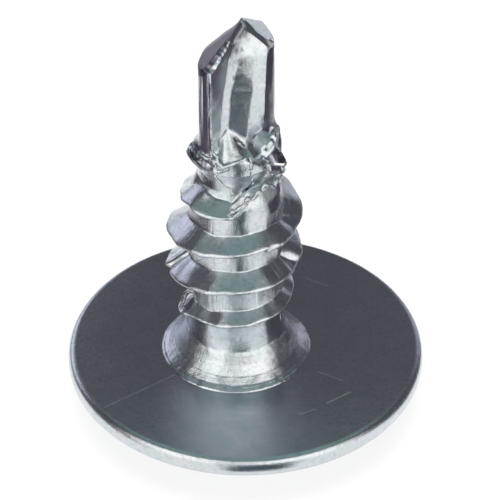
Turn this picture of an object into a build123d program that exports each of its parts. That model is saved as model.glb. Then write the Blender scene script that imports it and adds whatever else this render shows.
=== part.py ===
"""Self drilling screw with a wafer head, standing on its head with the drill point up.

Millimetres. The origin is the centre of the head's flange, at the level of the crown's flat, which
the screw stands on. +Z runs up the shank to the drill point. The shank is made on its own axis,
with the bearing face at height 0, and is then set on the head.
"""
from build123d import *
import os
from math import ceil, cos, floor, radians, sin, tan

# Head: a thin round flange, with a low crown on the drive side
flange_diameter = 11.5
flange_thickness = 0.7
flange_offset = 0.3             # the upset flange stands this far off the shank's axis, along +X
crown_height = 1.3
crown_diameter = 8.8
crown_flat_diameter = 6.0
crown_bulge = 0.25

# Cross recess in the crown, on the shank's axis
recess_span = 4.3
recess_depth = 2.0
recess_wing_width = 0.95
recess_core_diameter = 2.4
recess_wall_angle = 26.5        # the wings' ends, from the axis
recess_floor_angle = 28.0

# Shank, measured up from the bearing face
length = 12.85                  # bearing face to drill point
root_diameter = 3.0
neck_ring_diameter = 4.8
neck_ring_height = 0.08
neck_diameter = 4.4
neck_height = 1.8

# Rolled thread, right-hand
thread_diameter = 4.2
thread_pitch = 1.4
thread_flank_angle = 30.0       # each flank, from the plane across the axis
crest_width = 0.1
thread_phase = 4.8              # a crest crosses the -X side at this height
thread_fade_in = 1.5            # the thread grows out of the neck from here
thread_full_from = 2.9
thread_full_to = 5.6
thread_fade_out = 6.85          # and has died out here, under the drill

# Drill point: two lobes, half a turn apart, each with its cutting lip on the leading side
drill_width = 2.9               # across the lips
drill_thickness = 1.9           # across the flats
lip_azimuth = 50.0
lip_angle = 35.0                # fall of a lip, from the plane across the axis
relief_angle = 44.0             # fall behind the lip
heel_azimuth = 44.0             # the heel facet starts this far round behind the lip
heel_angle = 27.0               # fall of the heel facet across that line
tip_offset = 0.12               # the point was struck this far off the axis, towards +X
web_thickness = 0.35
flute_corner_top = -0.15        # the flute's corner, out along the lip from the axis
flute_corner_middle = 0.36
flute_corner_end = 0.97
flute_heel_top = 0.6            # the floor reaches the other lobe's heel this far past the axis
flute_heel_middle = 0.38
flute_heel_end = 0.27
flute_hollow = 0.08             # depth of the floor's curve at the tip
flute_swell = 0.1               # the floor's curve stands proud by this further down
web_thinning = 0.85             # the web gets thinner faster over this much under the tip
flute_end_height = 9.0
flute_run_out = 0.75

# Forging flash that stands out round the drill's foot
flash_diameter = 3.0
flash_height = 7.85
flash_rise = 0.6                # from its edge up to the drill's flats
flash_neck_diameter = 2.6
flash_neck_height = 7.1
flash_neck_start = 6.2

root_radius = root_diameter / 2
crest_radius = thread_diameter / 2
lip_radius = drill_width / 2
flat_radius = drill_thickness / 2
half_web = web_thickness / 2
bearing_height = crown_height + flange_thickness


# Neck and core, one turned form from inside the flange up to the foot of the drill
with BuildPart() as core:
    with BuildSketch(Plane.XZ):
        with BuildLine():
            Polyline(
                (0, -flange_thickness / 2),
                (neck_ring_diameter / 2, -flange_thickness / 2),
                (neck_ring_diameter / 2, 0),
                (neck_diameter / 2, neck_ring_height),
            )
            Spline(
                (neck_diameter / 2, neck_ring_height),
                (root_radius, neck_height),
                tangents=((-1, 1), (0, 1)),
            )
            Polyline(
                (root_radius, neck_height),
                (root_radius, flash_neck_start),
                (flash_neck_diameter / 2, flash_neck_height),
                (flash_diameter / 2, flash_height),
                (flat_radius, flash_height + flash_rise),
                (0, flash_height + flash_rise),
                (0, -flange_thickness / 2),
            )
        make_face()
    revolve(axis=Axis.Z)

# The thread's rib, one turn long: its section is swept along a helix at the rib's foot
flank_slope = tan(radians(thread_flank_angle))
rib_foot_radius = root_radius * 0.85
rib_tip_radius = crest_radius + crest_width / 4
foot_half_width = crest_width / 2 + (crest_radius - rib_foot_radius) * flank_slope
tip_half_width = crest_width / 2 - (rib_tip_radius - crest_radius) * flank_slope
with BuildPart() as rib_turn:
    with BuildLine():
        Helix(pitch=thread_pitch, height=thread_pitch, radius=rib_foot_radius)
    with BuildSketch(Plane.XZ):
        Polygon(
            (rib_foot_radius, -foot_half_width),
            (rib_tip_radius, -tip_half_width),
            (rib_tip_radius, tip_half_width),
            (rib_foot_radius, foot_half_width),
            align=None,
        )
    sweep(is_frenet=True)

# Turns a pitch apart, trimmed by the blank: thread rolling fills the crests only in the middle
first_turn = floor((thread_fade_in - thread_phase) / thread_pitch) - 1
last_turn = ceil((thread_fade_out - thread_phase) / thread_pitch)
rib_places = [
    Location((0, 0, thread_phase + turn * thread_pitch), (0, 0, 180))
    for turn in range(first_turn, last_turn + 1)
]
with BuildPart() as thread:
    with Locations(rib_places):
        add(rib_turn.part)
    with BuildSketch(Plane.XZ):
        Polygon(
            (0, thread_fade_in),
            (root_radius, thread_fade_in),
            (crest_radius, thread_full_from),
            (crest_radius, thread_full_to),
            (root_radius, thread_fade_out),
            (0, thread_fade_out),
            align=None,
        )
    revolve(axis=Axis.Z, mode=Mode.INTERSECT)

# Drill blank: a flattened bar whose end falls away from the tip on both lobes. It is made with one
# lip along +X. Each lobe has a relief facet behind its lip, and a steeper heel facet behind that
lip_slope = tan(radians(lip_angle))
relief_slope = tan(radians(relief_angle))
heel_slope = tan(radians(heel_angle))
heel_cos, heel_sin = cos(radians(heel_azimuth)), sin(radians(heel_azimuth))
ridge_slope = lip_slope * heel_cos + relief_slope * heel_sin
facet_normals = (
    Vector(lip_slope, -relief_slope, 1),
    Vector(
        ridge_slope * heel_cos - heel_slope * heel_sin,
        -ridge_slope * heel_sin - heel_slope * heel_cos,
        1,
    ),
)
tip = Vector(tip_offset, 0, length).rotate(Axis.Z, -lip_azimuth)
with BuildPart() as drill:
    with BuildSketch(Plane.XY.offset(flash_neck_height)):
        Ellipse(lip_radius, flat_radius)
    extrude(amount=length - flash_neck_height)
    for normal in facet_normals:
        for half_turn in (0, 180):
            facet = Plane(origin=tip, z_dir=normal.rotate(Axis.Z, half_turn))
            split(bisect_by=facet, keep=Keep.BOTTOM)


def flute_section(height, corner, heel_reach, hollow, lift=0.0):
    """The flute across the axis: flat on the lip's side, with a curved floor to the other heel."""
    heel_side = flat_radius * (1 - (heel_reach / lip_radius) ** 2) ** 0.5
    foot = Vector(corner + lift, half_web + lift)
    heel = Vector(lift - heel_reach, lift + heel_side)
    inward = (foot - heel).rotate(Axis.Z, -90).normalized()
    far = crest_radius + flute_run_out
    with BuildSketch(Plane.XY.offset(height)) as section:
        with BuildLine():
            ThreePointArc(heel, (foot + heel) / 2 + inward * hollow, foot)
            Polyline(foot, (far, foot.Y), (far, far), (heel.X, far), heel)
        make_face()
    return section.sketch


# One flute's cutter. It gets shallower away from the tip, and then runs out to the surface
flute_top = length + half_web
flute_middle = length - web_thinning
middle_hollow = (flute_hollow - flute_swell) / 2
flute_foot = flute_end_height - flute_run_out
flute_sections = [
    flute_section(flute_top, flute_corner_top, flute_heel_top, flute_hollow),
    flute_section(flute_middle, flute_corner_middle, flute_heel_middle, middle_hollow),
    flute_section(flute_end_height, flute_corner_end, flute_heel_end, -flute_swell),
    flute_section(flute_foot, flute_corner_end, flute_heel_end, -flute_swell, flute_run_out),
]
with BuildPart() as flute:
    loft(flute_sections, ruled=True)

# Shank: everything along its axis, with both flutes cut through drill and flash alike
with BuildPart() as shank:
    add(core.part)
    add(thread.part)
    add(drill.part, rotation=(0, 0, lip_azimuth))
    with PolarLocations(0, 2, start_angle=lip_azimuth):
        add(flute.part, mode=Mode.SUBTRACT)

# Recess: a cross with tapered wing ends and a round core, cut up into the crown
recess_foot_radius = recess_span / 2 - recess_depth * tan(radians(recess_wall_angle))
recess_tip_depth = recess_depth + recess_foot_radius * tan(radians(recess_floor_angle))
with BuildPart() as recess:
    with BuildSketch():
        Rectangle(recess_span, recess_wing_width)
        Rectangle(recess_wing_width, recess_span)
        Circle(recess_core_diameter / 2)
    extrude(amount=recess_tip_depth)
    with BuildSketch(Plane.XZ):
        Polygon(
            (0, 0),
            (recess_span / 2, 0),
            (recess_foot_radius, recess_depth),
            (0, recess_tip_depth),
            align=None,
        )
    revolve(axis=Axis.Z, mode=Mode.INTERSECT)

# Head and shank in one: the flange on its own axis, the crown and the recess on the shank's
crown_flat_radius = crown_flat_diameter / 2
crown_radius = crown_diameter / 2
with BuildPart() as crown:
    with BuildSketch(Plane.XZ):
        with BuildLine():
            Polyline(
                (crown_radius, crown_height),
                (crown_radius, bearing_height - flange_thickness / 2),
                (0, bearing_height - flange_thickness / 2),
                (0, 0),
                (crown_flat_radius, 0),
            )
            SagittaArc((crown_radius, crown_height), (crown_flat_radius, 0), crown_bulge)
        make_face()
    revolve(axis=Axis.Z)

with BuildPart() as screw:
    with BuildSketch(Plane.XZ):
        with BuildLine():
            rim_start = flange_diameter / 2 - flange_thickness / 2
            Polyline(
                (rim_start, bearing_height),
                (0, bearing_height),
                (0, crown_height),
                (rim_start, crown_height),
            )
            ThreePointArc(
                (rim_start, crown_height),
                (flange_diameter / 2, crown_height + flange_thickness / 2),
                (rim_start, bearing_height),
            )
        make_face()
    revolve(axis=Axis.Z)
    with Locations((-flange_offset, 0, 0)):
        add(crown.part)
    with Locations((-flange_offset, 0, bearing_height)):
        add(shank.part)
    with Locations((-flange_offset, 0, 0)):
        add(recess.part, mode=Mode.SUBTRACT)

screw.part.label = "screw"
os.makedirs("parts", exist_ok=True)
export_step(screw.part, "parts/screw.step")
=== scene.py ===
"""Self drilling screw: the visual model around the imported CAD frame.

A wafer head screw in bright zinc plate, standing on its head. The shapes are worked up on a bench
where one unit is a millimetre, because Blender remeshes no finer than a tenth of a thousandth of a
metre, and the finished piece is brought down to metres and to its place in the frame.
"""
import random
from math import acos, asin, atan2, cos, degrees, hypot, pi, radians, sin, sqrt

import bmesh
import bpy
from mathutils import Euler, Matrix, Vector
from mathutils.noise import noise


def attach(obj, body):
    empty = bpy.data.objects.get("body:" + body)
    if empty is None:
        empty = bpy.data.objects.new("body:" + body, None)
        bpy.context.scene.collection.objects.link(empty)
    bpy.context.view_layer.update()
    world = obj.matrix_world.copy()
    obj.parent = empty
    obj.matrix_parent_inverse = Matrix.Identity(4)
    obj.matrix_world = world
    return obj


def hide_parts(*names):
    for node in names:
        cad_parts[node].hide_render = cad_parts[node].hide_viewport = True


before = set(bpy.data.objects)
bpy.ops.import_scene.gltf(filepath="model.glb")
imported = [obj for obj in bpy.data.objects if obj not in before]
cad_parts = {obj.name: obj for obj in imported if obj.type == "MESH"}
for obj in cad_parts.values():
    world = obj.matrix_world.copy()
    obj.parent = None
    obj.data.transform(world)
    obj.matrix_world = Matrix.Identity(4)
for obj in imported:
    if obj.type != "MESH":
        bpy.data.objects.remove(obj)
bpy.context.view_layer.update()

bl_info = {
    "name": "Self Drilling Screw",
    "version": (1, 0, 0),
    "blender": (4, 5, 0),
    "location": "View3D > Sidebar > Screw",
    "description": "Makes a zinc plated wafer head self drilling screw and the stage it stands on",
    "category": "Object",
}

MM = 0.001
BEARING_HEIGHT = 2.0
SHANK_X = -0.3

# The camera looks down on the shank's foot, from this far off in millimetres. Its frame is 500
# places wide and 500 high, and this is its focal length in places
CAMERA_DISTANCE = 140.0
CAMERA_HEIGHT = 39.9
FOCAL_PLACES = 4312.0
LENS = 310.46
SENSOR = 36
# It aims this many places to the right of the foot, and above it
AIM_RIGHT = 17.9
AIM_UP = 94.9
# Where the foot stands in the frame, and the rise and run of the line of sight, for placing burrs
FRAME_AXIS = 235.5
FRAME_FOOT = 344.9
SIGHT_RISE = 0.641
SIGHT_RUN = 0.767

# The screw's forms on the bench, in millimetres. Those of the shank stand on its own axis, with
# height 0 at the bearing face

# Turned outlines: radius and height
FLANGE = [
    (5.45, 1.3), (5.57, 1.32), (5.67, 1.38), (5.73, 1.48), (5.75, 1.6), (5.75, 1.73),
    (5.72, 1.85), (5.67, 1.93), (5.6, 1.98), (5.5, 2.0),
]
CROWN = [(2.9, 0.0), (3.1, 0.02), (3.4, 0.15), (3.8, 0.48), (4.15, 0.9), (4.4, 1.3), (4.4, 1.6)]
NECK_AND_CORE = [
    (2.41, -0.4), (2.41, 0.0), (2.36, 0.05), (2.28, 0.07), (2.25, 0.11), (2.2, 0.12), (2.17, 0.16),
    (2.07, 0.26), (2.03, 0.31), (2.0, 0.33), (1.8, 0.62), (1.65, 0.95), (1.62, 0.99), (1.59, 1.07),
    (1.53, 1.4), (1.5, 1.8), (1.5, 6.2), (1.42, 6.6), (1.3, 6.9), (1.2, 7.15), (1.2, 7.5),
    (1.3, 7.9), (1.34, 8.1), (1.2, 8.3), (0.6, 8.45),
]
# The thread: the rib's section from its foot, and its crest as angle, height and radius. It is
# nicked on the left, and its turns sit flatter at the front than a true helix
THREAD_FOOT = 1.35
RIB_REACH = 0.75
RIB = [
    (-0.35, -0.5), (0, -0.5), (0.71, -0.075), (0.75, -0.03), (0.75, 0.03), (0.71, 0.08), (0, 0.6),
    (-0.35, 0.6),
]
CREST = [
    (-270, 1.45, 1.38), (-225, 1.6, 1.5), (-200, 1.75, 1.68), (-180, 1.95, 1.74),
    (-160, 2.1, 1.95), (-150, 2.16, 2.0), (-134, 2.2, 1.86), (-90, 2.3, 1.92), (-40, 2.42, 1.86),
    (0, 2.42, 1.84), (45, 2.7, 1.95), (90, 3.04, 2.1), (135, 3.2, 2.15), (170, 3.38, 2.2),
    (182, 3.44, 2.24), (188, 3.45, 2.04), (196, 3.47, 2.17), (225, 3.6, 2.13), (270, 3.8, 2.08),
    (321, 3.8, 2.05), (335, 3.74, 2.03), (347, 3.8, 1.98), (360, 4.0, 2.1), (405, 4.2, 2.13),
    (450, 4.35, 2.1), (495, 4.44, 2.1), (515, 4.76, 2.2), (540, 4.9, 2.21), (585, 5.1, 2.12),
    (630, 5.26, 2.02), (668, 5.34, 2.01), (690, 5.25, 2.0), (704, 5.22, 1.95), (722, 5.3, 2.13),
    (750, 5.6, 2.13), (768, 5.8, 2.1), (810, 5.92, 1.95), (870, 6.05, 1.84), (900, 6.31, 1.77),
    (934, 6.62, 1.85), (949, 6.55, 1.9),
    (980, 6.52, 1.76), (990, 6.62, 1.68), (1006, 7.1, 1.58), (1022, 7.3, 1.52), (1050, 7.4, 1.42),
    (1060, 7.4, 1.36),
]
# Burrs that the rolling and the forging left, each a bead laid along a line of places. A place is
# where the camera sees it, across and down its frame, then its radius and thickness
BURRS = {
    "thread_end": [
        (228, 215, 1.68, 0.03), (231, 212, 1.68, 0.08), (235, 211, 1.66, 0.05),
        (239, 208, 1.65, 0.09), (244, 204, 1.63, 0.05), (247, 199, 1.62, 0.1),
        (251, 200, 1.6, 0.05), (255, 197, 1.6, 0.07), (258, 192, 1.6, 0.1), (262, 190, 1.6, 0.05),
        (265, 185, 1.58, 0.1), (270, 184, 1.58, 0.06), (273, 188, 1.56, 0.05),
        (276, 180, 1.54, 0.08), (282, 174, 1.5, 0.03),
    ],
    "thread_start": [
        (197, 288, 1.5, 0.03), (192, 290, 1.62, 0.07), (187, 292, 1.7, 0.06),
        (184, 296, 1.78, 0.08), (182, 302, 1.9, 0.06), (180, 308, 1.98, 0.07),
        (180, 312, 2.0, 0.03),
    ],
    "crest_roll": [
        (262, 254, 1.9, 0.03), (268, 250, 1.92, 0.07), (275, 246, 1.93, 0.1),
        (282, 242, 1.92, 0.09), (287, 238, 1.88, 0.03),
    ],
    "collar": [
        (194, 143, 1.3, 0.1), (193, 149, 1.32, 0.2), (196, 156, 1.34, 0.24),
        (202, 162, 1.36, 0.2), (209, 165.5, 1.36, 0.13), (215, 167, 1.38, 0.06),
    ],
    "flash_plate": [
        (258, 158, 1.22, 0.06), (262, 152, 1.28, 0.15), (266, 146, 1.32, 0.19),
        (270.5, 140, 1.34, 0.16), (275, 133.5, 1.32, 0.05),
    ],
    "collar_fold_a": [
        (193, 147, 1.42, 0.03), (195, 152, 1.46, 0.07), (199, 157, 1.48, 0.08),
        (202, 160, 1.5, 0.04),
    ],
    "collar_fold_b": [
        (190, 148, 1.5, 0.02), (190, 154, 1.58, 0.05), (194, 161, 1.6, 0.05),
        (201, 168, 1.56, 0.05), (209, 171, 1.5, 0.03),
    ],
    "collar_fold_c": [
        (199, 151, 1.46, 0.02), (203, 156, 1.5, 0.05), (207, 158.5, 1.48, 0.05),
        (211, 158, 1.44, 0.02),
    ],
    "collar_end": [
        (212, 158, 1.42, 0.04), (214, 161, 1.46, 0.1), (216, 166, 1.48, 0.07),
        (213, 169, 1.46, 0.09), (217, 171, 1.47, 0.1), (222, 171, 1.45, 0.05),
        (227, 169.5, 1.43, 0.03),
    ],
    "flute_foot": [
        (216, 158, 1.4, 0.05), (219, 163, 1.44, 0.08), (223, 167, 1.47, 0.085),
        (229, 165, 1.48, 0.07), (237, 162.5, 1.48, 0.07), (243, 160, 1.46, 0.06),
        (247, 157, 1.43, 0.03),
    ],
    "scoop_fold": [
        (226, 137, 0.68, 0.03), (231.5, 135, 0.7, 0.06), (236, 139.5, 0.76, 0.07),
        (241, 145, 0.86, 0.06), (245, 150, 0.94, 0.03),
    ],
    "flash_curl": [
        (270, 132, 1.26, 0.04), (271, 128, 1.3, 0.06), (274.5, 125.5, 1.32, 0.07),
        (278, 127.5, 1.34, 0.06), (277.5, 131, 1.36, 0.07), (274, 133, 1.36, 0.05),
        (274, 137, 1.38, 0.04),
    ],
    "flash_edge": [
        (278, 148, 1.4, 0.05), (280.5, 154, 1.5, 0.06), (284, 160, 1.58, 0.05),
        (286, 164, 1.63, 0.035), (283, 167, 1.6, 0.05), (284, 171, 1.58, 0.06),
        (279, 173, 1.52, 0.06), (271, 173, 1.5, 0.045), (265, 174, 1.46, 0.03),
    ],
    "run_out_fold": [
        (249, 157, 1.3, 0.03), (252, 165, 1.4, 0.04), (251, 172, 1.4, 0.03),
        (253, 186, 1.4, 0.02),
    ],
    "core_fold": [
        (213, 175, 1.42, 0.03), (218, 180, 1.46, 0.05), (224, 186, 1.5, 0.04),
        (230, 190, 1.52, 0.05), (234, 196, 1.56, 0.02),
    ],
    "lobe_edge": [
        (211, 84, 1.43, 0.02), (210.7, 95, 1.43, 0.025), (210.5, 110, 1.44, 0.02),
        (210.5, 125, 1.44, 0.028), (210.7, 138, 1.44, 0.03), (211.5, 149, 1.44, 0.035),
        (214, 154, 1.43, 0.05), (218, 158.5, 1.42, 0.03),
    ],
}
# The leaves of the flash, each an outline of such places without a thickness
LEAVES = {
    "flash_spur": [
        (275.5, 146, 1.44), (280.5, 154, 1.52), (286, 164, 1.66), (278, 164, 1.6),
        (270.5, 162, 1.5), (271, 153, 1.46),
    ],
    "flash_step": [
        (271, 165, 1.46), (283, 166, 1.58), (283.5, 170, 1.6), (279, 172.5, 1.56),
        (270, 173.5, 1.5),
    ],
}
# The front leaf is flat: the way it faces, the place and radius of its middle, and its outline,
# across and down the frame, from an axis of its own
FRONT_LEAF_WAY = (0.283, -0.808, 0.517)
FRONT_LEAF_MIDDLE = (267, 147, 1.42)
FRONT_LEAF_AXIS = 235.3
FRONT_LEAF = [
    (260.5, 155), (262, 146), (266.5, 139.5), (273.5, 133.5), (277, 138), (274.5, 146),
    (270, 154), (265, 158.5),
]
LEAF_DEPTH = 0.45
ROUND = [(cos(radians(turn)), sin(radians(turn))) for turn in range(0, 360, 45)]
# The drill: half the width across its lips and half its web, its place and its point
LIP_RADIUS = 1.45
HALF_WEB = 0.175
LIP_AZIMUTH = 50.0
DRILL_X = 0.03
TIP = Vector((0.12, 0.0, 12.85))
# Half the width across the flats, by height: the foot is round
FLATS = [(7.0, 1.4), (8.2, 1.38), (8.45, 1.3), (8.7, 1.05), (8.9, 0.97), (9.2, 0.95), (13.2, 0.95)]
# Each flute, by height, as places along its lip and across it: the end of the wall, the end of
# the strip beside it, the shoulder at the end of the floor, and the heel
BACK_FLUTE = [
    (7.0, 0.95, 0.17, 0.75, 0.3, 0.4, 0.65, -0.1, 0.95),
    (9.8, 0.87, 0.17, 0.66, 0.26, 0.23, 0.73, -0.23, 0.95),
    (10.65, 0.8, 0.17, 0.62, 0.25, 0.14, 0.75, -0.27, 0.94),
    (12.0, 0.46, 0.17, 0.3, 0.24, -0.03, 0.6, -0.38, 0.92),
    (12.35, 0.36, 0.17, 0.19, 0.23, -0.1, 0.57, -0.43, 0.91),
    (12.7, 0.16, 0.17, 0.0, 0.24, -0.25, 0.55, -0.5, 0.89),
    (13.2, -0.15, 0.17, -0.28, 0.24, -0.48, 0.5, -0.62, 0.85),
]
FRONT_FLUTE = [
    (7.0, 1.1, 0.17, 0.8, 0.3, 0.4, 0.65, -0.1, 0.95),
    (8.9, 1.04, 0.17, 0.76, 0.28, 0.35, 0.68, -0.15, 0.95),
    (9.8, 0.95, 0.17, 0.7, 0.265, 0.227, 0.726, -0.227, 0.94),
    (10.65, 0.84, 0.17, 0.62, 0.257, 0.14, 0.77, -0.276, 0.93),
    (11.75, 0.64, 0.17, 0.25, 0.264, -0.216, 0.553, -0.601, 0.716),
    (12.3, 0.36, 0.15, 0.03, 0.2, -0.3, 0.27, -0.78, 0.5),
    (12.6, 0.05, 0.08, -0.3, 0.06, -0.6, 0.08, -0.85, 0.35),
    (13.2, -0.3, -0.02, -0.6, -0.08, -0.95, -0.02, -1.05, 0.25),
]
# Where the flutes run out, by share of the way across from lip to heel: height and length
FLUTE_ENDS = [
    (0.0, 8.75, 0.3), (0.2, 8.8, 0.35), (0.32, 9.2, 0.7), (0.44, 9.45, 0.95),
    (0.55, 9.4, 0.95), (0.75, 9.0, 0.9), (1.0, 8.6, 0.8),
]
# The drill's end, for each lobe: its facets' fall along the lip, and their fall behind it
FACETS = {LIP_AZIMUTH: [(0.7, 0.7)], LIP_AZIMUTH + 180: [(0.7, 0.966), (0.491, 1.183)]}
# The ways that the worn lip and the flute's worn top edge face
LIP_WEAR = [Vector((0.26, -0.72, 0.64)), Vector((-0.25, -0.68, 0.69))]
EDGE_WEAR = Vector((0.6, -0.32, 0.73))
EDGE_WEAR_DEPTH = 0.055
EDGE_WEAR_REACH = 0.16
# The chipped lip: how far along it the chips start and how long their row is, and their number
CHIPS_START = 0.1
CHIPS_LENGTH = 1.42
CHIPS = 23
CHIP_REACH = 0.3
# The drill is drawn through sections, from its foot up
DRILL_FOOT = 7.95
SECTION_RISE = 0.08
SECTIONS = 66
# A flute's corners are eased over a share of the side, and no further than a length
EASED_SHARE = 0.3
EASED_LENGTH = 0.2
# Points of half a section: along each straight, round each corner and round the land
STRAIGHT_POINTS = 6
CORNER_POINTS = 5
LAND_POINTS = 28
# The points of a section that lie in the flute, and heights below and above its top edge
FLUTE_POINTS = range(14, 49)
EDGE_SEARCH = (9.0, 13.1)
# Dents of handling: their depth, and how closely they follow each other
BROAD_DENTS = (0.02, 2.2)
SMALL_DENTS = (0.006, 6.5)
# The cross recess: its span and width at its mouth and at its floor, and the pit in its middle
RECESS_MOUTH = (4.3, 0.95)
RECESS_FLOOR = (2.3, 0.8)
RECESS_DEPTH = 2.0
RECESS_PIT = [(1.25, -0.1), (1.25, 0), (1.0, 1.9), (0.05, 2.5)]
# Fineness of the finished skin, and the edges that it shows as sharp
MOST_FACES = 150000
SHARP_ANGLE = 32


# Bench work: pieces are drawn, swept, cut and shaved as by hand

def clear_selection():
    """Leave nothing selected, so that the next operator touches only what it is given."""
    if bpy.context.object and bpy.context.object.mode != "OBJECT":
        bpy.ops.object.mode_set(mode="OBJECT")
    bpy.ops.object.select_all(action="DESELECT")


def pick(*pieces):
    """Select these pieces alone, and make the first one active."""
    clear_selection()
    for piece in pieces:
        piece.select_set(True)
    bpy.context.view_layer.objects.active = pieces[0]


def drawn(name, sections):
    """A closed solid drawn through sections: lists of points, as many in each as in the first."""
    clear_selection()
    bpy.ops.mesh.primitive_circle_add(vertices=len(sections[0]), fill_type="NGON")
    piece = bpy.context.object
    piece.name = name
    bpy.ops.object.mode_set(mode="EDIT")
    for number, section in enumerate(sections):
        if number:
            bpy.ops.mesh.extrude_region_move()
        mesh = bmesh.from_edit_mesh(piece.data)
        front = next(face for face in mesh.faces if face.select)
        for loop, point in zip(front.loops, section):
            loop.vert.co = point
        bmesh.update_edit_mesh(piece.data)
    bpy.ops.mesh.select_all(action="SELECT")
    bpy.ops.mesh.normals_make_consistent(inside=False)
    bpy.ops.object.mode_set(mode="OBJECT")
    return piece


def turned(name, outline, steps=192):
    """A turned solid, from its outline of (radius, height) points."""
    rings = []
    for radius, height in outline:
        turns = [2 * pi * step / steps for step in range(steps)]
        rings.append([(radius * cos(turn), radius * sin(turn), height) for turn in turns])
    return drawn(name, rings)


def swept(name, profile, stations):
    """A rib: a profile of (outward, up) points drawn along stations of (x, y, z, size)."""
    clear_selection()
    edge = bpy.data.curves.new(name + "_profile", "CURVE")
    line = edge.splines.new("POLY")
    line.points.add(len(profile) - 1)
    for point, (outward, up) in zip(line.points, profile):
        point.co = (outward, up, 0, 1)
    line.use_cyclic_u = True
    edge_piece = bpy.data.objects.new(name + "_profile", edge)
    bpy.context.collection.objects.link(edge_piece)
    path = bpy.data.curves.new(name, "CURVE")
    path.dimensions = "3D"
    path.twist_mode = "Z_UP"
    path.bevel_mode = "OBJECT"
    path.bevel_object = edge_piece
    path.use_fill_caps = True
    line = path.splines.new("POLY")
    line.points.add(len(stations) - 1)
    for point, (x, y, z, size) in zip(line.points, stations):
        point.co = (x, y, z, 1)
        point.radius = size
    piece = bpy.data.objects.new(name, path)
    bpy.context.collection.objects.link(piece)
    pick(piece)
    bpy.ops.object.convert(target="MESH")
    piece = bpy.context.object
    bpy.ops.object.mode_set(mode="EDIT")
    bpy.ops.mesh.select_all(action="SELECT")
    bpy.ops.mesh.remove_doubles(threshold=0.0005)
    bpy.ops.mesh.normals_make_consistent(inside=False)
    bpy.ops.object.mode_set(mode="OBJECT")
    bpy.data.objects.remove(edge_piece)
    return piece


def cut(piece, tool, operation="DIFFERENCE"):
    """Cut a tool out of a piece, or fuse it on, and throw the tool away."""
    pick(piece)
    modifier = piece.modifiers.new("cut", "BOOLEAN")
    modifier.operation = operation
    modifier.solver = "EXACT"
    modifier.object = tool
    bpy.ops.object.modifier_apply(modifier=modifier.name)
    bpy.data.objects.remove(tool)


def shave(piece, point, normal):
    """Cut off all that lies beyond a plane, and close the flat that is left."""
    pick(piece)
    bpy.ops.object.mode_set(mode="EDIT")
    bpy.ops.mesh.select_all(action="SELECT")
    bpy.ops.mesh.bisect(plane_co=point, plane_no=normal, use_fill=True, clear_outer=True)
    bpy.ops.object.mode_set(mode="OBJECT")


def keep_main(piece):
    """Throw away the crumbs that fusing leaves beside the main skin, and give back the rest."""
    name = piece.name
    pick(piece)
    bpy.ops.mesh.separate(type="LOOSE")
    parts = sorted(bpy.context.selected_objects, key=lambda part: len(part.data.polygons))
    main = parts.pop()
    for crumb in parts:
        bpy.data.objects.remove(crumb)
    main.name = name
    return main


def settle(piece, shift=(0, 0, 0), turn=0.0, scale=1.0):
    """Move, turn and scale a piece, with its place in its mesh."""
    pick(piece)
    piece.location = shift
    piece.rotation_euler.z = radians(turn)
    piece.scale = (scale, scale, scale)
    bpy.ops.object.transform_apply(location=True, rotation=True, scale=True)


def smooth_through(stations, steps):
    """Points along a smooth curve through stations, which are tuples of numbers."""
    points = []
    for number in range(len(stations) - 1):
        before = stations[max(number - 1, 0)]
        start, end = stations[number], stations[number + 1]
        after = stations[min(number + 2, len(stations) - 1)]
        for step in range(steps):
            t = step / steps
            points.append(tuple(
                0.5 * (
                    2 * b + (c - a) * t
                    + (2 * a - 5 * b + 4 * c - d) * t * t
                    + (3 * b - a - 3 * c + d) * t ** 3
                )
                for a, b, c, d in zip(before, start, end, after)
            ))
    points.append(tuple(stations[-1]))
    return points


def straight(start, end):
    """Points from start to end, without the start."""
    return [start.lerp(end, step / STRAIGHT_POINTS) for step in range(1, STRAIGHT_POINTS + 1)]


def bent(start, corner, end, steps):
    """Points from start to end round a corner."""
    points = []
    for step in range(steps):
        t = step / (steps - 1)
        points.append(start.lerp(corner, t).lerp(corner.lerp(end, t), t))
    return points


def at_height(stations, height):
    """The numbers at a height or a share, between the stations below and above it."""
    after = next(place for place, station in enumerate(stations) if station[0] >= height)
    start, end = stations[max(after - 1, 0)], stations[max(after, 1)]
    t = (height - start[0]) / (end[0] - start[0])
    return [one + (other - one) * t for one, other in zip(start, end)][1:]


def half_section(height, flute):
    """Half the drill across its axis: a lip's wall, its flute and the land behind the flute."""
    flats = at_height(FLATS, height)[0]

    def on_skin(turn):
        return Vector((LIP_RADIUS * cos(turn), flats * sin(turn)))

    numbers = at_height(flute, height)
    wall_end, strip_end, shoulder, heel = [
        Vector(numbers[place:place + 2]) for place in (0, 2, 4, 6)
    ]
    lip_turn, heel_turn = asin(HALF_WEB / flats), acos(heel.x / LIP_RADIUS)
    skin_heel = on_skin(heel_turn)
    if heel.y > skin_heel.y:
        heel = skin_heel
    places = [on_skin(lip_turn), wall_end, strip_end, shoulder, heel]
    line = [places[0]]
    for before, corner, after in zip(places, places[1:], places[2:]):
        back, on = before - corner, after - corner
        start = corner + back * EASED_SHARE * min(EASED_LENGTH / back.length, 1)
        end = corner + on * EASED_SHARE * min(EASED_LENGTH / on.length, 1)
        line += straight(line[-1], start)[:-1]
        line += bent(start, corner, end, CORNER_POINTS)
    line += straight(line[-1], heel)
    half = []
    for step, point in enumerate(line):
        across = step / (len(line) - 1)
        end, run_out = at_height(FLUTE_ENDS, across)
        filled = min(max((end - height) / run_out, 0), 1)
        filled *= filled * (3 - 2 * filled)
        half.append(point.lerp(on_skin(lip_turn + (heel_turn - lip_turn) * across), filled))
    set_in = half[-1] - skin_heel
    for step in range(1, LAND_POINTS):
        turn = heel_turn + (pi + lip_turn - heel_turn) * step / LAND_POINTS
        half.append(on_skin(turn) + set_in * max(1 - step / (LAND_POINTS / 2), 0) ** 2)
    return half


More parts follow.
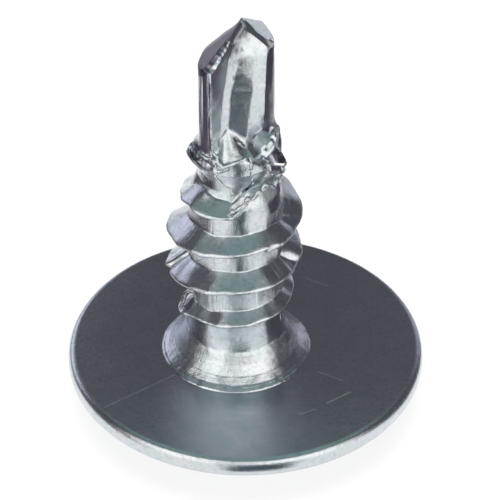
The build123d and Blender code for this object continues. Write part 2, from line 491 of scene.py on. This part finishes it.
def pared(piece, line, way, depths, reach):
    """Pare an edge away along a line, down to a depth at each of its points, facing one way."""
    way = way.normalized()
    sections = []
    for place, (point, depth) in enumerate(zip(line, depths)):
        along = line[min(place + 1, len(line) - 1)] - line[max(place - 1, 0)]
        side = way.cross(along).normalized() * reach
        low, high = point - way * depth, point + way * 0.3
        sections.append([low - side, low + side, high + side, high - side])
    cut(piece, drawn("paring", sections))


def dented(piece):
    """Dent a surface as handling does: broad shallow dents, and smaller ones on them."""
    ways = [vertex.normal.copy() for vertex in piece.data.vertices]
    dents = (BROAD_DENTS, SMALL_DENTS)
    for vertex, way in zip(piece.data.vertices, ways):
        push = 0.0
        for depth, closeness in dents:
            push += depth * noise(vertex.co * closeness)
        vertex.co += way * push


def drill_point():
    """The drill: fluted, then shaved to two lips, with worn and chipped edges."""
    sections = []
    for step in range(SECTIONS):
        height = DRILL_FOOT + SECTION_RISE * step
        section = [(p.x, p.y, height) for p in half_section(height, BACK_FLUTE)]
        section += [(-p.x, -p.y, height) for p in half_section(height, FRONT_FLUTE)]
        sections.append(section)
    piece = drawn("drill", sections)
    settle(piece, shift=(DRILL_X, 0, 0), turn=LIP_AZIMUTH)
    place = Vector((DRILL_X, 0, 0))

    def turned_by(turn, along, across, up=0.0):
        way = Vector((along, across, up))
        way.rotate(Euler((0, 0, radians(turn))))
        return way

    for turn, falls in FACETS.items():
        for along, behind in falls:
            shave(piece, TIP, turned_by(turn, along, -behind, 1))
    # The front flute's top edge, where the flute meets the back lobe's facet
    (along, behind), = FACETS[LIP_AZIMUTH]
    facet = turned_by(LIP_AZIMUTH, along, -behind, 1)
    edge = []
    for number in FLUTE_POINTS:
        low, high = EDGE_SEARCH
        while high - low > 0.001:
            height = (low + high) / 2
            point = half_section(height, FRONT_FLUTE)[number]
            spot = place + turned_by(LIP_AZIMUTH + 180, point.x, point.y, height)
            if facet.dot(spot - TIP) < 0:
                low = height
            else:
                high = height
        edge.append(spot)
    pared(piece, edge, EDGE_WEAR, [EDGE_WEAR_DEPTH] * len(edge), EDGE_WEAR_REACH)
    # The front lip, chipped
    ragged = random.Random(5)
    turn = LIP_AZIMUTH + 180
    facet = turned_by(turn, FACETS[turn][0][0], -FACETS[turn][0][1], 1)
    for way in LIP_WEAR:
        lip, depths = [], []
        for step in range(CHIPS):
            reach = CHIPS_START + CHIPS_LENGTH * (step + ragged.uniform(-0.4, 0.4)) / (CHIPS - 1)
            spot = place + turned_by(turn, reach, HALF_WEB)
            spot.z = TIP.z - facet.dot(spot - Vector((TIP.x, TIP.y, 0)))
            lip.append(spot)
            depths.append(ragged.uniform(0.01, 0.1) + 0.06 * step / (CHIPS - 1))
        pared(piece, lip, way, depths, CHIP_REACH)
    return piece


def round_shank(stations):
    """Points (x, y, z, size) for stations of (angle, height, radius, size)."""
    return [
        (radius * cos(radians(angle)), radius * sin(radians(angle)), height, size)
        for angle, height, radius, size in stations
    ]


def seen(across, down, axis, skin):
    """The spot that the camera sees at a place in its frame, on a skin that gives its y and z."""
    near = 0.0
    for _ in range(20):
        places_per_mm = FOCAL_PLACES / (CAMERA_DISTANCE - near)
        x, up = (across - axis) / places_per_mm, (FRAME_FOOT - down) / places_per_mm
        y, z = skin(x, up)
        near = SIGHT_RISE * z - SIGHT_RUN * y
    return x, y, z


def seen_at_radius(across, down, radius, axis=FRAME_AXIS):
    """The spot that the camera sees at a place, this far from the shank's axis."""

    def skin(x, up):
        y = -sqrt(max(radius * radius - x * x, 0))
        return y, (up - SIGHT_RISE * y) / SIGHT_RUN

    return seen(across, down, axis, skin)


def seen_on_front_leaf(across, down):
    """The spot that the camera sees at a place, on the plane of the front leaf."""
    way_x, way_y, way_z = FRONT_LEAF_WAY
    middle = seen_at_radius(*FRONT_LEAF_MIDDLE, FRONT_LEAF_AXIS)
    distance = sum(way * side for way, side in zip(FRONT_LEAF_WAY, middle))

    def skin(x, up):
        near = distance - way_x * x - (way_y * SIGHT_RISE + way_z * SIGHT_RUN) * up
        near /= way_z * SIGHT_RISE - way_y * SIGHT_RUN
        return SIGHT_RISE * up - SIGHT_RUN * near, SIGHT_RUN * up + SIGHT_RISE * near

    return seen(across, down, FRONT_LEAF_AXIS, skin)


def station(spot):
    """A spot as angle, height and radius, to a degree and to a hundredth of a millimetre."""
    x, y, z = spot
    return round(degrees(atan2(y, x))), round(z, 2), round(hypot(x, y), 2)


def burr_stations(places):
    """The stations of a burr, with its thickness at each."""
    return [(*station(seen_at_radius(*place[:3])), place[3]) for place in places]


def leaf_outlines():
    """The outline of each leaf of the flash, by name."""
    outlines = {"flash_leaf": [station(seen_on_front_leaf(*place)) for place in FRONT_LEAF]}
    for name, places in LEAVES.items():
        outlines[name] = [station(seen_at_radius(*place)) for place in places]
    return outlines


def thread_rib():
    """The rolled thread: one rib along its crest, sinking into the core at both ends."""
    stations = []
    for angle, height, crest in smooth_through(CREST, 12):
        crest += 0.015 * sin(angle / 9) + 0.01 * sin(angle / 4.3 + 1)
        height += 0.015 * sin(angle / 13 + 2) + 0.01 * sin(angle / 5.7)
        stations.append((angle, height, THREAD_FOOT, max(crest - THREAD_FOOT, 0.01) / RIB_REACH))
    return swept("thread", RIB, round_shank(stations))


def burrs():
    """The burrs, each a thin ragged bead laid along its line, and the leaves of the flash."""
    ragged = random.Random(3)
    made = []
    for name, places in BURRS.items():
        points = []
        for angle, height, radius, size in smooth_through(burr_stations(places), 4):
            size = max(size, 0.012)
            rough = min(0.2, 0.012 / size)
            size *= ragged.uniform(1 - rough, 1 + rough)
            points.append((angle, height, radius + ragged.uniform(-0.01, 0.01), size))
        made.append(swept(name, ROUND, round_shank(points)))
    for name, outline in leaf_outlines().items():
        faces = []
        for depth in (0, LEAF_DEPTH):
            around = [(angle, height, radius - depth, 1) for angle, height, radius in outline]
            faces.append([spot[:3] for spot in round_shank(around)])
        made.append(drawn(name, faces))
    return made


def recess_tool():
    """The cross that the driver's bit goes into, with tapered wing ends and a round core."""
    def cross(span, width, height):
        arm, half = span / 2, width / 2
        return [
            (arm, -half, height), (arm, half, height), (half, half, height),
            (half, arm, height), (-half, arm, height), (-half, half, height),
            (-arm, half, height), (-arm, -half, height), (-half, -half, height),
            (-half, -arm, height), (half, -arm, height), (half, -half, height),
        ]
    wings = drawn("wings", [
        cross(*RECESS_MOUTH, -0.1), cross(*RECESS_MOUTH, 0), cross(*RECESS_FLOOR, RECESS_DEPTH),
    ])
    pit = turned("pit", RECESS_PIT, 64)
    cut(wings, pit, "UNION")
    return wings


# Shader maths

class Net:
    """One node tree, and the one way in which nodes are made in it."""

    def __init__(self, tree):
        self.tree = tree
        tree.nodes.clear()

    def node(self, kind, settings=None, inputs=None):
        """Make a node: its settings first, then a value or a link for each input."""
        made = self.tree.nodes.new(kind)
        for name, value in (settings or {}).items():
            if name == "stops":
                while len(made.color_ramp.elements) < len(value):
                    made.color_ramp.elements.new(0.5)
                for element, (place, colour) in zip(made.color_ramp.elements, value):
                    element.position = place
                    element.color = (*colour, 1)
            else:
                setattr(made, name, value)
        for key, value in (inputs or {}).items():
            self.feed(made.inputs[key], value)
        return made

    def feed(self, socket, value):
        """Give a socket a value, or link it."""
        if isinstance(value, Wire):
            self.tree.links.new(value.socket, socket)
        elif isinstance(value, bpy.types.NodeSocket):
            self.tree.links.new(value, socket)
        elif isinstance(value, tuple) and len(value) == 3 and socket.type == "RGBA":
            socket.default_value = (*value, 1)
        else:
            socket.default_value = value

    def wire(self, node, output=0):
        """One output of a node, as a value for expressions."""
        return Wire(self, node.outputs[output])

    def mix(self, share, first, second):
        """Blend two colours."""
        made = self.node("ShaderNodeMix", {"data_type": "RGBA"}, {0: share, 6: first, 7: second})
        return Wire(self, made.outputs[2])


class Wire:
    """A number that varies over a surface, for use in Python expressions."""

    def __init__(self, net, socket):
        self.net = net
        self.socket = socket

    def maths(self, operation, first, second=None, clamp=False):
        inputs = {0: first} if second is None else {0: first, 1: second}
        settings = {"operation": operation, "use_clamp": clamp}
        return self.net.wire(self.net.node("ShaderNodeMath", settings, inputs))

    def __add__(self, other):
        return self.maths("ADD", self, other)

    def __radd__(self, other):
        return self.maths("ADD", other, self)

    def __sub__(self, other):
        return self.maths("SUBTRACT", self, other)

    def __rsub__(self, other):
        return self.maths("SUBTRACT", other, self)

    def __mul__(self, other):
        return self.maths("MULTIPLY", self, other)

    def __rmul__(self, other):
        return self.maths("MULTIPLY", other, self)

    def __pow__(self, other):
        return self.maths("POWER", self, other)

    def more_of(self, other):
        """Whichever of the two is more."""
        return self.maths("MAXIMUM", self, other)

    def clamped(self):
        """Held between 0 and 1."""
        return self.maths("ADD", self, 0.0, clamp=True)

    def step(self, start, end):
        """0 before start and 1 after end, and smooth between them."""
        made = self.net.node(
            "ShaderNodeMapRange", {"interpolation_type": "SMOOTHSTEP"},
            {0: self, 1: start, 2: end, 3: 0.0, 4: 1.0},
        )
        return self.net.wire(made)


# Painted shade: dark patches painted on the shank for its shade and dark reflections, as angle,
# height, radius and reach
PAINTED_SHADE_PATCHES = [
    (-157, 8.35, 1.5, 0.42), (-140, 8.15, 1.55, 0.4), (-124, 8.05, 1.55, 0.25),
    (-24, 8.2, 1.6, 0.3), (-46, 8.25, 1.4, 0.22), (-20, 9.3, 1.35, 0.2),
    (-90, 8.95, 0.8, 0.14), (-80, 8.75, 0.9, 0.14), (-73, 11.7, 0.63, 0.3),
    (-64, 12.06, 0.55, 0.32), (-47, 12.3, 0.48, 0.24), (-80, 11.2, 0.68, 0.26),
    (-153, 2.55, 1.85, 0.36),
]
# Scratches on the head's bearing face, real wear lightened in colour as a painted glint: ends in
# millimetres, width and strength
SCRATCHES = [
    ((-4.5, -3.08), (-2.3, -1.5), 0.04, 0.5), ((2.6, -2.9), (3.34, -2.37), 0.05, 0.8),
    ((2.36, -1.36), (3.1, -1.8), 0.06, 0.45), ((1.95, 3.45), (2.75, 3.02), 0.07, 0.4),
    ((1.7, -3.45), (2.23, -3.2), 0.04, 0.5),
]


# Tints of the zinc: its clouds, flecks and grain, then painted shade and dark reflections on the
# shank, its ground flats painted dark as a painted dark reflection, and scratches lightened as a
# painted glint
CLOUD_TINTS = ((0.60, 0.66, 0.68), (0.66, 0.68, 0.72))
FLECK_TINT = (0.36, 0.39, 0.41)
GRAIN_TINT = (0.42, 0.44, 0.46)
PAINTED_SHADE_TINT = (0.15, 0.15, 0.18)
PAINTED_DARK_FACET_TINT = (0.17, 0.15, 0.19)
SCRATCH_GLINT_TINT = (0.95, 0.95, 1.0)


def zinc_plate():
    """Bright zinc over forged and rolled steel: cloudy in tint and gloss, with a fine grain."""
    material = bpy.data.materials.new("bright_zinc")
    material.use_nodes = True
    net = Net(material.node_tree)
    place = net.node("ShaderNodeTexCoord").outputs["Object"]
    parts = net.node("ShaderNodeSeparateXYZ", {}, {0: place})
    x, y, z = (net.wire(parts, number) * (1 / MM) for number in range(3))

    def texture(scale, detail, roughness=0.5):
        made = net.node(
            "ShaderNodeTexNoise", {},
            {"Vector": place, "Scale": scale / MM, "Detail": detail, "Roughness": roughness},
        )
        return net.wire(made, "Fac")

    def beyond(turn, along, behind):
        """1 on the flat that a fall of the drill's end has left, and 0 off it."""
        way = Vector((along, -behind, 1)).normalized()
        way.rotate(Euler((0, 0, radians(turn))))
        foot = way.dot(TIP + Vector((SHANK_X, 0, BEARING_HEIGHT)))
        return (x * way.x + y * way.y + z * way.z - foot).step(-0.045, -0.02)

    cloud, grain, fleck = texture(1.6, 4.0), texture(22.0, 3.0, 0.6), texture(7.0, 4.0, 0.7)
    tint = net.mix(cloud.step(0.35, 0.65), *CLOUD_TINTS)
    tint = net.mix(fleck.step(0.5, 0.68) * 0.35, tint, FLECK_TINT)
    tint = net.mix(grain.step(0.5, 0.7) * 0.3, tint, GRAIN_TINT)

    def painted_shade_spot(patch):
        """1 in a round patch of painted shade on the shank, and 0 outside it."""
        angle, height, radius, reach = patch
        off_x = x - (SHANK_X + radius * cos(radians(angle)))
        off_y = y - radius * sin(radians(angle))
        off_z = z - (BEARING_HEIGHT + height)
        off = (off_x * off_x + off_y * off_y + off_z * off_z) ** 0.5 + (fleck - 0.5) * 0.3
        return 1 - off.step(reach * 0.7, reach)

    painted_shade_mask = 0.0
    for patch in PAINTED_SHADE_PATCHES:
        painted_shade_mask = painted_shade_spot(patch).more_of(painted_shade_mask)
    # Painted shade: the patches darken the zinc's colour where shade and dark reflections fall
    tint = net.mix(painted_shade_mask * 0.7, tint, PAINTED_SHADE_TINT)
    ground_flat_painted_dark = 0.0
    for along, behind in FACETS[LIP_AZIMUTH + 180]:
        ground_flat_painted_dark = beyond(LIP_AZIMUTH + 180, along, behind).more_of(ground_flat_painted_dark)
    # Painted dark reflection: the front lobe's ground flats are darkened in colour; their added
    # roughness below is their own finish
    tint = net.mix(ground_flat_painted_dark * 0.9, tint, PAINTED_DARK_FACET_TINT)
    scratch_and_glint = 0.0
    for start, end, width, strength in SCRATCHES:
        run = Vector(end) - Vector(start)
        along = ((x - start[0]) * run.x + (y - start[1]) * run.y) * (1 / run.length_squared)
        along = along.clamped()
        off_x, off_y = x - start[0] - along * run.x, y - start[1] - along * run.y
        off = (off_x * off_x + off_y * off_y) ** 0.5 + (grain - 0.5) * 0.1
        line = (1 - off.step(width * 0.3, width)) * strength * fleck.step(0.3, 0.55)
        scratch_and_glint = line.more_of(scratch_and_glint)
    face = z.step(1.9, 1.95) * (1 - z.step(2.05, 2.1))
    scratch_and_glint = scratch_and_glint * face
    # Painted glint: scratches are lightened in colour as if catching light, and made rougher below
    tint = net.mix(scratch_and_glint, tint, SCRATCH_GLINT_TINT)
    roughness = 0.11 + 0.08 * fleck + 0.08 * grain + 0.3 * scratch_and_glint + 0.15 * ground_flat_painted_dark
    roughness = roughness - 0.09 * face
    bump = net.node(
        "ShaderNodeBump", {},
        {"Strength": 0.36, "Distance": 0.02 * MM, "Height": grain + 0.6 * fleck},
    )
    surface = net.node("ShaderNodeBsdfPrincipled", {}, {
        "Base Color": tint, "Metallic": 1.0, "Roughness": roughness,
        "Normal": bump.outputs[0],
    })
    out = net.node("ShaderNodeOutputMaterial")
    net.feed(out.inputs["Surface"], surface.outputs[0])
    return material


# What the user sees: the sizes that they can change, one operator for each step, and the panel

class ScrewSettings(bpy.types.PropertyGroup):
    """The sizes and colours that a user would change."""

    grid: bpy.props.FloatProperty(
        name="Working grid", description="Fineness of the grid that fuses the shank",
        default=0.025 * MM, unit="LENGTH", precision=6,
    )
    floor_colour: bpy.props.FloatVectorProperty(
        name="Floor", description="Colour of the floor round the screw",
        default=(1.0, 1.0, 1.0), subtype="COLOR", min=0, max=1,
    )


class SCREW_OT_shank(bpy.types.Operator):
    """Make the neck, the thread and the drill point, and fuse them into one skin"""

    bl_idname = "screw.shank"
    bl_label = "Shank"

    def execute(self, context):
        shank = turned("shank", NECK_AND_CORE)
        pick(shank, thread_rib(), drill_point(), *burrs())
        bpy.ops.object.join()
        modifier = shank.modifiers.new("fuse", "REMESH")
        modifier.mode = "VOXEL"
        modifier.voxel_size = context.scene.screw_settings.grid / MM
        bpy.ops.object.modifier_apply(modifier=modifier.name)
        modifier = shank.modifiers.new("ease", "SMOOTH")
        modifier.factor = 0.5
        modifier.iterations = 1
        bpy.ops.object.modifier_apply(modifier=modifier.name)
        modifier = shank.modifiers.new("thin", "DECIMATE")
        faces = sum(len(face.vertices) - 2 for face in shank.data.polygons)
        modifier.ratio = min(1.0, MOST_FACES / faces)
        bpy.ops.object.modifier_apply(modifier=modifier.name)
        dented(shank)
        settle(shank, shift=(SHANK_X, 0, BEARING_HEIGHT))
        return {"FINISHED"}


class SCREW_OT_head(bpy.types.Operator):
    """Turn the wafer head, cut its cross recess and fuse it with the shank"""

    bl_idname = "screw.head"
    bl_label = "Head"

    def execute(self, context):
        screw = turned("self_drilling_screw", FLANGE, 256)
        crown = turned("crown", CROWN, 192)
        settle(crown, shift=(SHANK_X, 0, 0))
        cut(screw, crown, "UNION")
        tool = recess_tool()
        settle(tool, shift=(SHANK_X, 0, 0))
        cut(screw, tool)
        cut(screw, bpy.data.objects["shank"], "UNION")
        screw = keep_main(screw)
        settle(screw, scale=MM)
        pick(screw)
        bpy.ops.object.shade_smooth_by_angle(angle=radians(SHARP_ANGLE))
        screw.data.materials.clear()
        screw.data.materials.append(zinc_plate())
        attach(screw, "root")
        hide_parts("screw")
        return {"FINISHED"}


def sky():
    """Studio light: dim cloth all round, and soft panels set in it."""
    world = bpy.data.worlds.new("studio")
    world.use_nodes = True
    net = Net(world.node_tree)
    place = net.node("ShaderNodeTexCoord").outputs["Generated"]
    parts = net.node("ShaderNodeSeparateXYZ", {}, {0: place})
    x, y, z = (net.wire(parts, number) for number in range(3))
    height = z.maths("ARCSINE", z) * (180 / pi)
    side = x.maths("ARCTAN2", x, 0 - y) * (180 / pi)
    back = x.maths("ARCTAN2", x, y) * (180 / pi)

    def between(angle, start, end, soft):
        """1 from start to end, in degrees, and 0 outside, with soft edges."""
        return angle.step(start - soft, start + soft) * (1 - angle.step(end - soft, end + soft))

    colour = DIM_CLOTH
    for angle, left, right, low, high, soft, light in PANELS:
        sideways = between(back if angle == "back" else side, left, right, soft)
        colour = net.mix(sideways * between(height, low, high, soft), colour, light)
    background = net.node("ShaderNodeBackground", {}, {"Color": colour, "Strength": 1.0})
    out = net.node("ShaderNodeOutputWorld")
    net.feed(out.inputs["Surface"], background.outputs[0])
    return world


# The studio's cloth, and each panel in it: its place in degrees from the front or from the back,
# positive to the right of one who faces the screw from the front, then its height, edge and light
DIM_CLOTH = (0.10, 0.10, 0.115)
PANELS = [
    ("side", -181, 181, 56, 95, 7, (0.25, 0.345, 0.34)),
    ("side", -70, 68, -5, 48, 9, (1.45, 1.44, 1.40)),
    ("side", -13, 1, -10, 52, 4, (0.5, 0.56, 0.56)),
    ("side", -2, 24, -14, 7, 4, (0.06, 0.08, 0.095)),
    ("back", -60, -18, 2, 30, 10, (0.95, 0.95, 1.12)),
    ("back", 18, 40, 5, 32, 6, (0.42, 0.40, 0.47)),
    ("back", 26, 44, -8, 6, 4, (0.8, 0.8, 0.92)),
]
FLOOR_SIZE = 0.6
# How much of the floor is its own colour, whatever light falls on it
FLOOR_GLOW = 0.84
LAMP_HEIGHT = 0.2
LAMP_SIZE = 0.2
LAMP_POWER = 0.55
# Dark cards that lie round the white floor, as corners in millimetres: painted dark reflections,
# which glow their colour and are seen only in the metal, not by the camera
CARDS = {
    "card_left": [(-10.8, 24), (-11.3, -8), (-110, -78), (-60, 110)],
    "card_right": [(10.2, -3), (6, 55), (60, 55), (80, -21.5)],
    "card_front": [(-1, -7), (-40, -300), (155, -300), (2.2, -7)],
}
CARD_COLOURS = {
    "card_left": (0.085, 0.07, 0.095),
    "card_right": (0.075, 0.065, 0.09),
    "card_front": (0.085, 0.115, 0.13),
}


def glowing(name, colour):
    """A material that shows one colour, whatever light falls on it."""
    material = bpy.data.materials.new(name)
    material.use_nodes = True
    net = Net(material.node_tree)
    glow = net.node("ShaderNodeEmission", {}, {"Color": colour, "Strength": 1.0})
    net.feed(net.node("ShaderNodeOutputMaterial").inputs["Surface"], glow.outputs[0])
    return material


def floor_paper(colour):
    """White paper that shows its own colour and the screw's soft shadow."""
    material = bpy.data.materials.new("floor")
    material.use_nodes = True
    net = Net(material.node_tree)
    paper = net.node("ShaderNodeBsdfDiffuse", {}, {"Color": colour})
    glow = net.node("ShaderNodeEmission", {}, {"Color": colour, "Strength": 1.0})
    path = net.node("ShaderNodeLightPath")
    own = net.wire(path, "Is Camera Ray") + net.wire(path, "Is Glossy Ray")
    own = (own + net.wire(path, "Is Transmission Ray")).clamped()
    shader = net.node(
        "ShaderNodeMixShader", {}, {0: own * FLOOR_GLOW, 1: paper.outputs[0], 2: glow.outputs[0]}
    )
    out = net.node("ShaderNodeOutputMaterial")
    net.feed(out.inputs["Surface"], shader.outputs[0])
    return material


def laid_card(name, corners):
    """A dark card that lies on the floor, seen only in the metal: a painted dark reflection that
    glows its colour.
    """
    clear_selection()
    bpy.ops.mesh.primitive_plane_add()
    card = bpy.context.object
    card.name = name
    for vertex, (x, y) in zip((card.data.vertices[n] for n in (0, 1, 3, 2)), corners):
        vertex.co = (x * MM, y * MM, 0.1 * MM)
    # Painted dark reflection: the card glows its dark colour and is hidden from the camera, from
    # the light and from shadows
    card.data.materials.append(glowing(name, CARD_COLOURS[name]))
    card.visible_camera = False
    card.visible_diffuse = False
    card.visible_shadow = False


class SCREW_OT_stage(bpy.types.Operator):
    """Lay the floor and the dark cards, light the studio and set up the camera"""

    bl_idname = "screw.stage"
    bl_label = "Stage"

    def execute(self, context):
        clear_selection()
        bpy.ops.mesh.primitive_plane_add(size=FLOOR_SIZE)
        floor = bpy.context.object
        floor.name = "floor"
        floor.data.materials.append(floor_paper(tuple(context.scene.screw_settings.floor_colour)))
        for name, corners in CARDS.items():
            laid_card(name, corners)
        context.scene.world = sky()
        bpy.ops.object.light_add(type="AREA", location=(0, 0, LAMP_HEIGHT))
        lamp = bpy.context.object
        lamp.name = "floor_lamp"
        lamp.data.shape = "DISK"
        lamp.data.size = LAMP_SIZE
        lamp.data.energy = LAMP_POWER
        lamp.visible_glossy = False
        lamp.visible_camera = False
        context.scene.view_settings.view_transform = "Standard"
        lens = bpy.data.cameras.new("camera")
        lens.sensor_width = SENSOR
        lens.lens = LENS
        lens.clip_start = 0.01
        camera = bpy.data.objects.new("camera", lens)
        context.collection.objects.link(camera)
        height = radians(CAMERA_HEIGHT)
        foot = Vector((SHANK_X * MM, 0, BEARING_HEIGHT * MM))
        camera.location = foot + CAMERA_DISTANCE * MM * Vector((0, -cos(height), sin(height)))
        pitch = height - atan2(AIM_UP, FOCAL_PLACES)
        camera.rotation_euler = (pi / 2 - pitch, 0, -atan2(AIM_RIGHT, FOCAL_PLACES))
        context.scene.camera = camera
        return {"FINISHED"}


class SCREW_PT_panel(bpy.types.Panel):
    """The screw's steps and sizes in the 3D view's sidebar"""

    bl_idname = "SCREW_PT_panel"
    bl_label = "Self drilling screw"
    bl_space_type = "VIEW_3D"
    bl_region_type = "UI"
    bl_category = "Screw"

    def draw(self, context):
        settings = context.scene.screw_settings
        for name in ("grid", "floor_colour"):
            self.layout.prop(settings, name)
        for step in ("screw.shank", "screw.head", "screw.stage"):
            self.layout.operator(step)


CLASSES = (ScrewSettings, SCREW_OT_shank, SCREW_OT_head, SCREW_OT_stage, SCREW_PT_panel)


def register():
    for item in CLASSES:
        bpy.utils.register_class(item)
    bpy.types.Scene.screw_settings = bpy.props.PointerProperty(type=ScrewSettings)


def unregister():
    del bpy.types.Scene.screw_settings
    for item in reversed(CLASSES):
        bpy.utils.unregister_class(item)


def main():
    """Make the screw and its stage."""
    register()
    bpy.ops.screw.shank()
    bpy.ops.screw.head()
    bpy.ops.screw.stage()
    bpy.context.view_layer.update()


if __name__ == "__main__":
    main()
